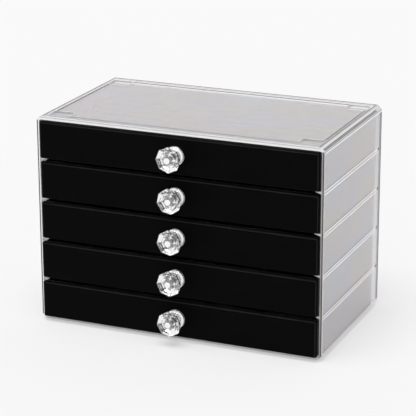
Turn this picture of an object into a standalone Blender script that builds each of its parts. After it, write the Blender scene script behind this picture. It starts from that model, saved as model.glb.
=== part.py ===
"""Clear display case with five velvet drawers for jewellery.

A moulded clear sleeve, open at the front, has rails along its side walls and a clear panel in its back.
Five black velvet drawers slide forward on the floor and on the rails, each pulled by a faceted clear
knob. The case stands on z = 0, is centred on x = 0 and faces -Y. Lengths are in metres, +Z is up.
"""
import math

import bmesh
import bpy
from mathutils import Matrix

MM = 0.001

# Clearances
FIT_GAP = 0.3 * MM
CUT_OVERRUN = 2.0 * MM

# Clear sleeve, with a bevel of 45 degrees along its four long edges
CASE_WIDTH = 235.0 * MM
CASE_DEPTH = 131.0 * MM
SIDE_WALL = 2.6 * MM
TOP_WALL = 3.2 * MM
FLOOR_WALL = 2.4 * MM
LONG_EDGE_BEVEL = 3.3 * MM
INSIDE_BEVEL = 0.8 * MM
END_ROUND = 0.4 * MM

# Stacking pockets in the top and the feet that drop into them
RIM_WIDTH = 6.0 * MM
PANEL_SINK = 0.5 * MM
PANEL_CORNER = 3.0 * MM
POCKET_WIDTH = 17.0 * MM
POCKET_LENGTH = 13.0 * MM
POCKET_SINK = 1.1 * MM
POCKET_MARGIN = 0.8 * MM
POCKET_CORNER = 3.5 * MM
FOOT_HEIGHT = 0.9 * MM
FOOT_PLAY = 0.4 * MM

# Rails on the side walls, flat above and thinning inward below, and the back panel
DRAWER_COUNT = 5
BAY_HEIGHT = 30.2 * MM
RAIL_WIDTH = 5.0 * MM
RAIL_ROOT = 2.2 * MM
RAIL_EDGE = 0.6 * MM
RAIL_SETBACK = 0.8 * MM
BACK_THICKNESS = 2.4 * MM
BACK_EDGE = 0.3 * MM

# Velvet covered drawer front
FRONT_SIDE_GAP = 0.6 * MM
FRONT_THICKNESS = 4.0 * MM
FRONT_CORNER = 1.6 * MM
FRONT_FACE_ROUND = 1.3 * MM
FRONT_REAR_ROUND = 0.5 * MM

# How far each drawer stands out of the case at rest, from the bottom drawer up
DRAWER_STAND = (3.8 * MM, 3.4 * MM, 2.4 * MM, 1.8 * MM, 2.6 * MM)

# Drawer tray
TRAY_SIDE_GAP = 0.9 * MM
TRAY_REAR_SPACE = 4.0 * MM
TRAY_DROP = 0.6 * MM
TRAY_WALL = 2.2 * MM
TRAY_FLOOR = 2.0 * MM
TRAY_CORNER = 4.0 * MM
TRAY_EDGE = 0.6 * MM
TRAY_COVE = 1.0 * MM

# Padded floor liner, and the inserts that divide four of the drawers, from the bottom drawer up
LINER_THICKNESS = 2.0 * MM
LINER_CORNER = 1.4 * MM
LINER_EDGE = 0.7 * MM
INSERT_WALL = 2.0 * MM
INSERT_HEIGHT = 20.0 * MM
COLUMN_COUNT = (3, 5, 3, 5)
ROW_COUNT = (1, 1, 2, 2)

# Ring rolls of the top drawer
ROLL_COUNT = 8
ROLL_HEIGHT = 15.0 * MM
ROLL_GAP = 0.6 * MM
ROLL_SHOULDER = 5.5 * MM
ROLL_FOOT_ROUND = 1.0 * MM
ROLL_END_ROUND = 1.6 * MM

# Knob: round stepped base, waisted neck and a brilliant cut head of eight sides
KNOB_LENGTH = 15.4 * MM
KNOB_BASE_RADIUS = 7.5 * MM
KNOB_BASE_THICKNESS = 3.4 * MM
KNOB_BASE_EDGE = 0.4 * MM
KNOB_STEP = 1.0 * MM
KNOB_NECK_RADIUS = 3.9 * MM
KNOB_NECK_FLARE = 0.7 * MM
KNOB_HEAD_RADIUS = 9.9 * MM
KNOB_HEAD_START = 6.0 * MM
KNOB_GIRDLE_START = 11.6 * MM
KNOB_GIRDLE_THICKNESS = 1.4 * MM
KNOB_CROWN_RADIUS = 6.4 * MM
KNOB_TABLE_START = 14.6 * MM
KNOB_BUTTON_RADIUS = 2.7 * MM
KNOB_BUTTON_GROOVE = 1.2 * MM
KNOB_GROOVE_SINK = 0.7 * MM

# How far each knob is turned on its screw, in degrees, from the bottom drawer up
KNOB_TURN_ANGLE = (8, 5, 7, 11, 1)

# Screw that holds a knob on, driven from inside the tray
SCREW_RADIUS = 1.7 * MM
SCREW_REACH = 7.5 * MM
SCREW_HEAD_RADIUS = 3.5 * MM
SCREW_HEAD_HEIGHT = 2.2 * MM
SCREW_CROSS_LENGTH = 4.0 * MM
SCREW_CROSS_WIDTH = 0.9 * MM
SCREW_CROSS_SINK = 1.2 * MM
SCREW_TIP = 0.6 * MM

# Facets
TURNED_SIDES = 24
HEAD_SIDES = 8
HOLE_SIDES = 12
CORNER_STEPS = 4
EDGE_STEPS = 3
SOFT_STEPS = 2
SOFT_ANGLE = math.radians(50)
FACET_ANGLE = math.radians(20)

# Sizes that follow from those above
BAY_PITCH = BAY_HEIGHT + RAIL_ROOT
INNER_WIDTH = CASE_WIDTH - 2 * SIDE_WALL
INNER_BOTTOM = FOOT_HEIGHT + FLOOR_WALL
INNER_HEIGHT = DRAWER_COUNT * BAY_PITCH - RAIL_ROOT
CASE_TOP = INNER_BOTTOM + INNER_HEIGHT + TOP_WALL
FRONT_WIDTH = INNER_WIDTH - 2 * FRONT_SIDE_GAP
FRONT_HEIGHT = BAY_HEIGHT - 2 * FIT_GAP
KNOB_REACH = FIT_GAP + KNOB_LENGTH
CASE_FRONT = (KNOB_REACH + max(DRAWER_STAND) - CASE_DEPTH) / 2
CASE_BACK = CASE_FRONT + CASE_DEPTH
CASE_MIDDLE = (CASE_FRONT + CASE_BACK) / 2
HOLE_RADIUS = SCREW_RADIUS + FIT_GAP

# Places in a drawer, from the middle of its front face, +Y to the rear
DRAWER_BOTTOM = -FRONT_HEIGHT / 2
TRAY_TOP = FRONT_HEIGHT / 2 - TRAY_DROP
TRAY_WIDTH = INNER_WIDTH - 2 * TRAY_SIDE_GAP
TRAY_START = FRONT_THICKNESS + FIT_GAP
TRAY_END = CASE_DEPTH - TRAY_REAR_SPACE
TRAY_INSIDE_WIDTH = TRAY_WIDTH - 2 * TRAY_WALL
TRAY_INSIDE_START = TRAY_START + TRAY_WALL
TRAY_INSIDE_END = TRAY_END - TRAY_WALL
LINER_BOTTOM = DRAWER_BOTTOM + TRAY_FLOOR + FIT_GAP
LINER_TOP = LINER_BOTTOM + LINER_THICKNESS
INSERT_BOTTOM = LINER_TOP + FIT_GAP
SCREW_HEAD_START = TRAY_INSIDE_START + FIT_GAP
SCREW_HEAD_END = SCREW_HEAD_START + SCREW_HEAD_HEIGHT


def clear_scene():
    for obj in list(bpy.data.objects):
        bpy.data.objects.remove(obj, do_unlink=True)


# Materials

def finish(name, colour, roughness, metallic=0.0):
    """Principled material of one colour."""
    material = bpy.data.materials.new(name)
    material.use_nodes = True
    shader = material.node_tree.nodes["Principled BSDF"]
    shader.inputs["Base Color"].default_value = (*colour, 1.0)
    shader.inputs["Roughness"].default_value = roughness
    shader.inputs["Metallic"].default_value = metallic
    return material, shader


def clear_plastic(name, colour, refraction):
    """Clear moulded plastic that light passes through."""
    material, shader = finish(name, colour, 0.03)
    shader.inputs["Transmission Weight"].default_value = 1.0
    shader.inputs["IOR"].default_value = refraction
    return material


def velvet(name, colour):
    """Matt pile with a faint sheen."""
    material, shader = finish(name, colour, 0.95)
    shader.inputs["Sheen Weight"].default_value = 0.15
    return material


def zinc_steel(name):
    material, _ = finish(name, (0.62, 0.62, 0.60), 0.30, 1.0)
    return material


# Outlines, rings and lofts

def corner_after(corner, grow, steps):
    """Corner size of an outline once it is offset outward by grow: a bevel's leg or an arc's radius."""
    return corner + grow * (2 - math.sqrt(2) if steps == 1 else 1)


def outline(width, height, corner, steps, grow=0.0):
    """Points of a rectangle about its centre, with bevelled (one step) or rounded corners."""
    size = corner_after(corner, grow, steps)
    across = width / 2 + grow - size
    up = height / 2 + grow - size
    points = []
    for quarter, (side, level) in enumerate(((1, 1), (-1, 1), (-1, -1), (1, -1))):
        for step in range(steps + 1):
            angle = (quarter + step / steps) * math.pi / 2
            points.append((side * across + size * math.cos(angle), level * up + size * math.sin(angle)))
    return points


def upright_ring(points, y, z=0.0):
    return [(u, y, z + v) for u, v in points]


def flat_ring(points, z, x=0.0, y=0.0):
    return [(x + u, y + v, z) for u, v in points]


def side_ring(points, x, y=0.0, z=0.0):
    return [(x, y + u, z + v) for u, v in points]


def round_ring(y, radius, sides):
    step = 2 * math.pi / sides
    return [(radius * math.cos(n * step), y, radius * math.sin(n * step)) for n in range(sides)]


def edge_arc(radius, steps):
    """Pairs of offset and depth that round an edge, from the face (depth 0) to the side (offset 0)."""
    angles = [step / steps * math.pi / 2 for step in range(steps + 1)]
    return [(radius * (math.sin(a) - 1), radius * (1 - math.cos(a))) for a in angles]


def add_loft(mesh, rings, in_a_loop=False):
    """Skins rings of equal length, and closes both ends unless the rings run round in a loop."""
    rows = [[mesh.verts.new(point) for point in ring] for ring in rings]
    pairs = list(zip(rows, rows[1:]))
    if in_a_loop:
        pairs.append((rows[-1], rows[0]))
    else:
        mesh.faces.new(rows[0])
        mesh.faces.new(rows[-1])
    count = len(rows[0])
    for lower, upper in pairs:
        for n in range(count):
            m = (n + 1) % count
            mesh.faces.new((lower[n], lower[m], upper[m], upper[n]))


def mesh_of(name, *lofts, in_a_loop=False):
    """Mesh of one or more lofts, with its faces pointing out."""
    work = bmesh.new()
    for rings in lofts:
        add_loft(work, rings, in_a_loop)
    bmesh.ops.recalc_face_normals(work, faces=work.faces)
    data = bpy.data.meshes.new(name)
    work.to_mesh(data)
    work.free()
    return data


def box_rings(low, high):
    """Two rings of a plain box between two corners."""
    (x0, y0, z0), (x1, y1, z1) = low, high
    return [[(x0, y0, z), (x1, y0, z), (x1, y1, z), (x0, y1, z)] for z in (z0, z1)]


def rod_rings(y0, y1, radius, sides):
    return [round_ring(y0, radius, sides), round_ring(y1, radius, sides)]


# Objects

def place(name, data, material, parent=None, at=(0.0, 0.0, 0.0)):
    obj = bpy.data.objects.new(name, data)
    bpy.context.scene.collection.objects.link(obj)
    if not data.materials:
        data.materials.append(material)
    obj.parent = parent
    obj.location = at
    return obj


def combine(obj, data, operation):
    """Cuts a guide shape out of an object, or joins it on, with a Boolean."""
    guide = bpy.data.objects.new(data.name, data)
    bpy.context.scene.collection.objects.link(guide)
    guide.hide_render = True
    guide.display_type = "WIRE"
    step = obj.modifiers.new(data.name, "BOOLEAN")
    step.operation = operation
    step.object = guide
    return guide


def carved(data, *steps):
    """Mesh that is left once each (guide mesh, operation) has been worked on it in turn."""
    blank = bpy.data.objects.new(data.name, data)
    bpy.context.scene.collection.objects.link(blank)
    guides = [combine(blank, guide, operation) for guide, operation in steps]
    seen = blank.evaluated_get(bpy.context.evaluated_depsgraph_get())
    result = bpy.data.meshes.new_from_object(seen)
    result.name = data.name
    for spent in (blank, *guides):
        bpy.data.objects.remove(spent, do_unlink=True)
    return result


def smoothed(data, angle=SOFT_ANGLE):
    """Shades a mesh smooth but for the edges that turn by more than an angle."""
    data.shade_smooth()
    data.set_sharp_from_angle(angle=angle)
    return data


# Case

def sleeve_ring(y, inside, grow):
    if inside:
        points = outline(INNER_WIDTH, INNER_HEIGHT, INSIDE_BEVEL, 1, grow)
        return upright_ring(points, y, INNER_BOTTOM + INNER_HEIGHT / 2)
    points = outline(CASE_WIDTH, CASE_TOP - FOOT_HEIGHT, LONG_EDGE_BEVEL, 1, grow)
    return upright_ring(points, y, (CASE_TOP + FOOT_HEIGHT) / 2)


def sleeve_mesh():
    """Tube of eight sides whose two open ends have rounded lips."""
    front, back, lip = CASE_FRONT, CASE_BACK, END_ROUND
    rings = [
        sleeve_ring(front, False, -lip),
        sleeve_ring(front + lip, False, 0.0),
        sleeve_ring(back - lip, False, 0.0),
        sleeve_ring(back, False, -lip),
        sleeve_ring(back, True, lip),
        sleeve_ring(back - lip, True, 0.0),
        sleeve_ring(front + lip, True, 0.0),
        sleeve_ring(front, True, lip),
    ]
    return mesh_of("case_shell", rings, in_a_loop=True)


def corner_places():
    """Middles of the four stacking corners."""
    inset = RIM_WIDTH + POCKET_MARGIN
    x = CASE_WIDTH / 2 - inset - POCKET_WIDTH / 2
    y = CASE_DEPTH / 2 - inset - POCKET_LENGTH / 2
    return [(side * x, CASE_MIDDLE + end * y) for side in (-1, 1) for end in (-1, 1)]


def corner_blocks(name, shrink, bottom, top):
    """Four low rounded blocks, one at each stacking corner."""
    points = outline(POCKET_WIDTH, POCKET_LENGTH, POCKET_CORNER, CORNER_STEPS, -shrink)
    return mesh_of(name, *[[flat_ring(points, z, x, y) for z in (bottom, top)] for x, y in corner_places()])


def top_sink_mesh():
    """Shallow sunk panel inside the rim of the top."""
    points = outline(CASE_WIDTH - 2 * RIM_WIDTH, CASE_DEPTH - 2 * RIM_WIDTH, PANEL_CORNER, CORNER_STEPS)
    levels = (CASE_TOP - PANEL_SINK, CASE_TOP + CUT_OVERRUN)
    return mesh_of("top_sink", [flat_ring(points, z, 0.0, CASE_MIDDLE) for z in levels])


def rail_mesh():
    """Rails of both side walls. They stop short of the front lip and of the back panel."""
    start = CASE_FRONT + RAIL_SETBACK
    end = CASE_BACK - BACK_THICKNESS - FIT_GAP
    wall = INNER_WIDTH / 2
    rails = []
    for side in (-1, 1):
        for number in range(1, DRAWER_COUNT):
            top = INNER_BOTTOM + number * BAY_PITCH
            section = [
                (side * (wall + SIDE_WALL / 2), top),
                (side * (wall - RAIL_WIDTH), top),
                (side * (wall - RAIL_WIDTH), top - RAIL_EDGE),
                (side * wall, top - RAIL_ROOT),
                (side * (wall + SIDE_WALL / 2), top - RAIL_ROOT),
            ]
            rails.append([upright_ring(section, start), upright_ring(section, end)])
    return mesh_of("rails", *rails)


def add_case_shell(material):
    pockets = corner_blocks("stacking_pockets", 0.0, CASE_TOP - POCKET_SINK, CASE_TOP + CUT_OVERRUN)
    feet = corner_blocks("feet", FOOT_PLAY, 0.0, FOOT_HEIGHT + FLOOR_WALL / 2)
    data = carved(
        sleeve_mesh(),
        (top_sink_mesh(), "DIFFERENCE"),
        (pockets, "DIFFERENCE"),
        (rail_mesh(), "UNION"),
        (feet, "UNION"),
    )
    return place("case_shell", data, material)


def eased_ends(length, ease):
    """Places along a plate's length, each with the inset of its outline there, for two eased ends."""
    return (0.0, ease), (ease, 0.0), (length - ease, 0.0), (length, ease)


def add_back_panel(material):
    """Panel let into the rear end of the sleeve."""
    rings = []
    for y, inset in eased_ends(BACK_THICKNESS, BACK_EDGE):
        points = outline(INNER_WIDTH, INNER_HEIGHT, INSIDE_BEVEL, 1, -FIT_GAP - inset)
        rings.append(upright_ring(points, y, INNER_HEIGHT / 2))
    at = (0.0, CASE_BACK - BACK_THICKNESS, INNER_BOTTOM)
    return place("back_panel", mesh_of("back_panel", rings), material, at=at)


# Drawer pieces, each made about the middle of the drawer's front face

def screw_hole(start, end, radius=HOLE_RADIUS):
    return mesh_of("screw_hole", rod_rings(start, end, radius, HOLE_SIDES))


def front_mesh():
    """Board wrapped in velvet, with soft edges and a hole for the screw."""
    face = [(offset, depth) for offset, depth in edge_arc(FRONT_FACE_ROUND, EDGE_STEPS)]
    rear = [(offset, FRONT_THICKNESS - depth) for offset, depth in edge_arc(FRONT_REAR_ROUND, 1)]
    rings = []
    for offset, y in face + rear[::-1]:
        rings.append(upright_ring(outline(FRONT_WIDTH, FRONT_HEIGHT, FRONT_CORNER, CORNER_STEPS, offset), y))
    hole = screw_hole(-CUT_OVERRUN, FRONT_THICKNESS + CUT_OVERRUN)
    return smoothed(carved(mesh_of("front", rings), (hole, "DIFFERENCE")))


def tray_mesh():
    """Open box with soft rims and a coved inside, and a hole for the screw through its front wall."""
    length = TRAY_END - TRAY_START
    floor = DRAWER_BOTTOM + TRAY_FLOOR
    steps = [
        (-TRAY_EDGE, DRAWER_BOTTOM),
        (0.0, DRAWER_BOTTOM + TRAY_EDGE),
        (0.0, TRAY_TOP - TRAY_EDGE),
        (-TRAY_EDGE, TRAY_TOP),
        (TRAY_EDGE - TRAY_WALL, TRAY_TOP),
        (-TRAY_WALL, TRAY_TOP - TRAY_EDGE),
        (-TRAY_WALL, floor + TRAY_COVE),
        (-TRAY_WALL - TRAY_COVE, floor),
    ]
    middle = (TRAY_START + TRAY_END) / 2
    rings = []
    for offset, z in steps:
        points = outline(TRAY_WIDTH, length, TRAY_CORNER, CORNER_STEPS, offset)
        rings.append(flat_ring(points, z, 0.0, middle))
    hole = screw_hole(TRAY_START - CUT_OVERRUN, TRAY_INSIDE_START + CUT_OVERRUN)
    return smoothed(carved(mesh_of("tray", rings), (hole, "DIFFERENCE")))


def knob_base_rings():
    """Profile of the base and neck, from the drawer face forward to inside the head."""
    base, edge = KNOB_BASE_RADIUS, KNOB_BASE_EDGE
    half = KNOB_BASE_THICKNESS / 2
    neck_start = KNOB_BASE_THICKNESS + KNOB_STEP
    neck_middle = (neck_start + KNOB_HEAD_START) / 2
    profile = [
        (0.0, base - edge),
        (edge, base),
        (half - edge, base),
        (half, base - edge),
        (half, base - KNOB_STEP),
        (KNOB_BASE_THICKNESS - edge, base - KNOB_STEP),
        (KNOB_BASE_THICKNESS, base - KNOB_STEP - edge),
        (KNOB_BASE_THICKNESS, KNOB_NECK_RADIUS + KNOB_STEP),
        (neck_start, KNOB_NECK_RADIUS + KNOB_NECK_FLARE / 2),
        (neck_middle, KNOB_NECK_RADIUS),
        (KNOB_HEAD_START, KNOB_NECK_RADIUS + KNOB_NECK_FLARE / 2),
        (KNOB_GIRDLE_START, KNOB_NECK_RADIUS + KNOB_NECK_FLARE),
    ]
    return [round_ring(-FIT_GAP - reach, radius, TURNED_SIDES) for reach, radius in profile]


def faceted_ring(reach, radius, turned):
    """Eight-sided ring with a point in the middle of each side too, turned by half a side or not."""
    step = math.pi / HEAD_SIDES
    points = []
    for n in range(2 * HEAD_SIDES):
        on_corner = (n + turned) % 2 == 0
        r = radius if on_corner else radius * math.cos(step)
        points.append((r * math.sin(n * step), -FIT_GAP - reach, r * math.cos(n * step)))
    return points


def knob_head_rings():
    """Cut head: back facets, girdle, crown, table, ring groove and the raised button."""
    girdle_end = KNOB_GIRDLE_START + KNOB_GIRDLE_THICKNESS
    groove = KNOB_BUTTON_RADIUS + KNOB_BUTTON_GROOVE
    groove_floor = KNOB_TABLE_START - KNOB_GROOVE_SINK
    button = KNOB_BUTTON_RADIUS
    shoulder = (KNOB_TABLE_START + KNOB_LENGTH) / 2
    return [
        faceted_ring(KNOB_HEAD_START, KNOB_NECK_RADIUS + KNOB_NECK_FLARE, True),
        faceted_ring(KNOB_GIRDLE_START, KNOB_HEAD_RADIUS, False),
        faceted_ring(girdle_end, KNOB_HEAD_RADIUS, False),
        faceted_ring(KNOB_TABLE_START, KNOB_CROWN_RADIUS, True),
        round_head_ring(KNOB_TABLE_START, groove),
        round_head_ring(groove_floor, (groove + button) / 2),
        round_head_ring(KNOB_TABLE_START, button),
        round_head_ring(shoulder, button * math.cos(math.pi / 6)),
        round_head_ring(KNOB_LENGTH, button / 2),
    ]


def round_head_ring(reach, radius):
    step = math.pi / HEAD_SIDES
    angles = [n * step for n in range(2 * HEAD_SIDES)]
    return [(radius * math.sin(a), -FIT_GAP - reach, radius * math.cos(a)) for a in angles]


def knob_mesh():
    head = mesh_of("knob_head", knob_head_rings())
    screw_end = -FIT_GAP - SCREW_REACH - FIT_GAP
    hole = screw_hole(screw_end, CUT_OVERRUN)
    body = carved(mesh_of("knob", knob_base_rings()), (head, "UNION"), (hole, "DIFFERENCE"))
    return smoothed(body, FACET_ANGLE)


def screw_mesh():
    """Pan head screw with a cross recess, its point inside the knob."""
    tip = -FIT_GAP - SCREW_REACH
    half = SCREW_HEAD_HEIGHT / 2
    profile = [
        (tip, SCREW_RADIUS - SCREW_TIP),
        (tip + SCREW_TIP, SCREW_RADIUS),
        (SCREW_HEAD_START, SCREW_RADIUS),
        (SCREW_HEAD_START, SCREW_HEAD_RADIUS),
        (SCREW_HEAD_START + half, SCREW_HEAD_RADIUS),
        (SCREW_HEAD_END, SCREW_HEAD_RADIUS - half),
    ]
    rings = [round_ring(y, radius, HOLE_SIDES) for y, radius in profile]
    start, end = SCREW_HEAD_END - SCREW_CROSS_SINK, SCREW_HEAD_END + CUT_OVERRUN
    arm, web = SCREW_CROSS_LENGTH / 2, SCREW_CROSS_WIDTH / 2
    across = mesh_of("cross_across", box_rings((-arm, start, -web), (arm, end, web)))
    upright = mesh_of("cross_upright", box_rings((-web, start, -arm), (web, end, arm)))
    return smoothed(carved(mesh_of("screw", rings), (across, "DIFFERENCE"), (upright, "DIFFERENCE")))


def inside_outline(offset, corner):
    """Outline of the tray's inside, offset outward, about its middle."""
    length = TRAY_INSIDE_END - TRAY_INSIDE_START
    return outline(TRAY_INSIDE_WIDTH, length, corner, CORNER_STEPS, offset)


def liner_mesh():
    """Thin pad that covers the tray's floor, with a soft upper edge."""
    middle = (TRAY_INSIDE_START + TRAY_INSIDE_END) / 2
    inset = -FIT_GAP - TRAY_COVE
    levels = [(inset, LINER_BOTTOM)]
    for offset, depth in edge_arc(LINER_EDGE, SOFT_STEPS)[::-1]:
        levels.append((inset + offset, LINER_TOP - depth))
    corner = LINER_CORNER + TRAY_COVE
    rings = [flat_ring(inside_outline(offset, corner), z, 0.0, middle) for offset, z in levels]
    return smoothed(mesh_of("liner", rings))


def wall_lines(low, high, cells):
    """Places where the walls of a row of equal cells start and end, the outer ones with an overrun."""
    pitch = (high - low - INSERT_WALL) / cells
    lines = [low + n * pitch + side for n in range(cells + 1) for side in (0.0, INSERT_WALL)]
    return [low - CUT_OVERRUN, *lines[1:-1], high + CUT_OVERRUN]


def lattice_mesh(columns, rows):
    """Crossing walls between the cells, run past the insert's outline on all sides."""
    half = TRAY_INSIDE_WIDTH / 2 - FIT_GAP
    across = wall_lines(-half, half, columns)
    along = wall_lines(TRAY_INSIDE_START + FIT_GAP, TRAY_INSIDE_END - FIT_GAP, rows)
    work = bmesh.new()
    grid = [[work.verts.new((x, y, INSERT_BOTTOM - CUT_OVERRUN)) for y in along] for x in across]
    for i in range(len(across) - 1):
        for j in range(len(along) - 1):
            if i % 2 == 0 or j % 2 == 0:
                work.faces.new((grid[i][j], grid[i + 1][j], grid[i + 1][j + 1], grid[i][j + 1]))
    raised = bmesh.ops.extrude_face_region(work, geom=list(work.faces))["geom"]
    tops = [item for item in raised if isinstance(item, bmesh.types.BMVert)]
    bmesh.ops.translate(work, verts=tops, vec=(0.0, 0.0, INSERT_HEIGHT + 2 * CUT_OVERRUN))
    bmesh.ops.recalc_face_normals(work, faces=work.faces)
    data = bpy.data.meshes.new("insert")
    work.to_mesh(data)
    work.free()
    return data


def insert_mesh(columns, rows):
    """Open lattice of compartments, with a notch for the screw head in its front wall."""
    middle = (TRAY_INSIDE_START + TRAY_INSIDE_END) / 2
    top = INSERT_BOTTOM + INSERT_HEIGHT
    points = inside_outline(-FIT_GAP, TRAY_CORNER - TRAY_WALL)
    body = mesh_of("insert_body", [flat_ring(points, z, 0.0, middle) for z in (INSERT_BOTTOM, top)])
    reach = SCREW_HEAD_RADIUS + 2 * FIT_GAP
    low = (-reach, TRAY_INSIDE_START - CUT_OVERRUN, -reach)
    high = (reach, SCREW_HEAD_END + FIT_GAP, top + CUT_OVERRUN)
    notch = mesh_of("screw_notch", box_rings(low, high))
    return carved(lattice_mesh(columns, rows), (body, "INTERSECT"), (notch, "DIFFERENCE"))


def roll_room():
    """Front and rear of the space that the ring rolls share."""
    return SCREW_HEAD_END + ROLL_GAP, TRAY_INSIDE_END - FIT_GAP


def roll_mesh():
    """Soft bar across the drawer: flat foot, straight sides and a round crown, with rounded ends."""
    start, end = roll_room()
    thickness = (end - start) / ROLL_COUNT - ROLL_GAP
    half = TRAY_INSIDE_WIDTH / 2 - FIT_GAP
    ends = [(offset, half - depth) for offset, depth in edge_arc(ROLL_END_ROUND, SOFT_STEPS)]
    stations = [(offset, -x) for offset, x in ends] + ends[::-1]
    rings = [side_ring(roll_outline(thickness, offset), x) for offset, x in stations]
    return smoothed(mesh_of("ring_roll", rings))


def roll_outline(thickness, offset):
    """Cross-section of a ring roll from its foot up, offset outward but flat on the same foot."""
    wide = thickness / 2 + offset
    crown = min(ROLL_SHOULDER, thickness / 2 - FIT_GAP) + offset
    shoulder = ROLL_HEIGHT + offset - crown
    corners = (
        (1, crown, shoulder),
        (-1, crown, shoulder),
        (-1, ROLL_FOOT_ROUND, ROLL_FOOT_ROUND),
        (1, ROLL_FOOT_ROUND, ROLL_FOOT_ROUND),
    )
    points = []
    for quarter, (side, radius, middle) in enumerate(corners):
        for step in range(EDGE_STEPS + 1):
            angle = (quarter + step / EDGE_STEPS) * math.pi / 2
            across = side * (wide - radius) + radius * math.cos(angle)
            points.append((across, middle + radius * math.sin(angle)))
    return points


# Drawers

def drawer_slide(number):
    """Empty at the middle of a drawer's front face, which carries the drawer's pieces along Y."""
    slide = bpy.data.objects.new(f"drawer_{number}_slide", None)
    bpy.context.scene.collection.objects.link(slide)
    bay_floor = INNER_BOTTOM + (number - 1) * BAY_PITCH
    face = CASE_FRONT - DRAWER_STAND[number - 1]
    slide.matrix_world = Matrix.Translation((0.0, face, bay_floor + BAY_HEIGHT / 2))
    return slide


def add_ring_rolls(number, slide, material):
    start, end = roll_room()
    pitch = (end - start) / ROLL_COUNT
    data = roll_mesh()
    for n in range(ROLL_COUNT):
        at = (0.0, start + (n + 0.5) * pitch, LINER_TOP + FIT_GAP)
        place(f"ring_roll_{n + 1}", data, material, slide, at)


def add_drawers(materials):
    shared = {
        "front": front_mesh(),
        "tray": tray_mesh(),
        "knob": knob_mesh(),
        "screw": screw_mesh(),
        "liner": liner_mesh(),
    }
    for number in range(1, DRAWER_COUNT + 1):
        slide = drawer_slide(number)
        for piece, data in shared.items():
            obj = place(f"{piece}_{number}", data, materials[piece], slide)
            if piece == "knob":
                obj.rotation_euler.y = -math.radians(KNOB_TURN_ANGLE[number - 1])
        if number <= len(COLUMN_COUNT):
            data = insert_mesh(COLUMN_COUNT[number - 1], ROW_COUNT[number - 1])
            place(f"insert_{number}", data, materials["insert"], slide)
        else:
            add_ring_rolls(number, slide, materials["ring_roll"])


def build():
    clear_scene()
    case = clear_plastic("clear_polystyrene", (0.93, 0.93, 0.95), 1.59)
    add_case_shell(case)
    add_back_panel(case)
    add_drawers({
        "front": velvet("front_velvet", (0.006, 0.006, 0.006)),
        "tray": velvet("tray_velvet", (0.007, 0.007, 0.007)),
        "knob": clear_plastic("clear_acrylic", (0.98, 0.98, 0.98), 1.49),
        "screw": zinc_steel("zinc_steel"),
        "liner": velvet("liner_velvet", (0.009, 0.009, 0.009)),
        "insert": velvet("insert_velvet", (0.008, 0.008, 0.008)),
        "ring_roll": velvet("ring_roll_velvet", (0.010, 0.010, 0.010)),
    })


build()
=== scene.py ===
"""Looks of a clear display case with five black velvet drawers and faceted clear knobs."""
import math

import bmesh
import bpy
from mathutils import Matrix, Vector, noise


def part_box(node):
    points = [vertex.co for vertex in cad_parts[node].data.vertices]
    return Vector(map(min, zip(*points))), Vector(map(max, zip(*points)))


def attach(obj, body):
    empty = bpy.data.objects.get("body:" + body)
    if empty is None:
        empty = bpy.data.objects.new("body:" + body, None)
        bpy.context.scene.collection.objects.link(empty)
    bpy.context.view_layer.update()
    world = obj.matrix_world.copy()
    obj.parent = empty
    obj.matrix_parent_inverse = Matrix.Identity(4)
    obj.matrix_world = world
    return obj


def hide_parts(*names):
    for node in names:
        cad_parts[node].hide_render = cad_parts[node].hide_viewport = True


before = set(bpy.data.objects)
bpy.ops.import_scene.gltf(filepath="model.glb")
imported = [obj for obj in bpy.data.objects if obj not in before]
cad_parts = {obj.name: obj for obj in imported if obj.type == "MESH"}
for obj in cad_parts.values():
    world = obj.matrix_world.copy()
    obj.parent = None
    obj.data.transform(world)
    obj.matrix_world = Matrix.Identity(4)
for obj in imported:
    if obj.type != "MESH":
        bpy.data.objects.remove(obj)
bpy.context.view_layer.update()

MM = 0.001
case_low, case_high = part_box("case_shell")

# Studio
# The case stands on a pale table that runs on into a white backdrop, in even white light from all round
# and one large soft lamp overhead. The camera is a long lens, a little above the case and to its right.
CAMERA_PLACE = Vector((673.3, -1234.8, 546.8)) * MM
CAMERA_TILT = math.radians(18.02)
CAMERA_SWING = math.radians(23.24)
CAMERA_ROLL = math.radians(-0.19)
CAMERA_LENS = 163.7
ROOM_COLOUR = (1.0, 0.993, 0.998, 1.0)
ROOM_STRENGTH = 0.42
BACKDROP_COLOUR = (0.955, 0.950, 0.960, 1.0)
LAMP_DIRECTION = Vector((0.02, 0.22, -1.0))
LAMP_SPREAD = math.radians(40)
LAMP_STRENGTH = 1.85
TABLE_REACH = 6.0
TABLE_DROP = 0.05 * MM
TABLE_GLOW = (0.960, 0.952, 0.960, 1.0)
TABLE_GLOW_SHARE = 0.5


def fill(tree, node, sockets):
    """Fills sockets of a node, each with a number, a colour or the output that feeds it."""
    for socket, value in sockets.items():
        if isinstance(value, bpy.types.NodeSocket):
            tree.links.new(value, node.inputs[socket])
        else:
            node.inputs[socket].default_value = value


def add_node(tree, kind, sockets):
    node = tree.nodes.new(kind)
    fill(tree, node, sockets)
    return node


def reckon(tree, operation, first, second=0.0):
    """Output of one operation on two values."""
    node = tree.nodes.new("ShaderNodeMath")
    node.operation = operation
    fill(tree, node, {0: first, 1: second})
    return node.outputs[0]


def tune(tree, sockets):
    """Fills sockets of a material's own shader."""
    fill(tree, tree.nodes["Principled BSDF"], sockets)


def new_finish(name, sockets):
    """Material and its node tree, with sockets of its shader filled."""
    material = bpy.data.materials.new(name)
    material.use_nodes = True
    tree = material.node_tree
    tune(tree, sockets)
    return material, tree


def linked(name, data):
    """New object, linked to the scene."""
    thing = bpy.data.objects.new(name, data)
    bpy.context.scene.collection.objects.link(thing)
    return thing


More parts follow.
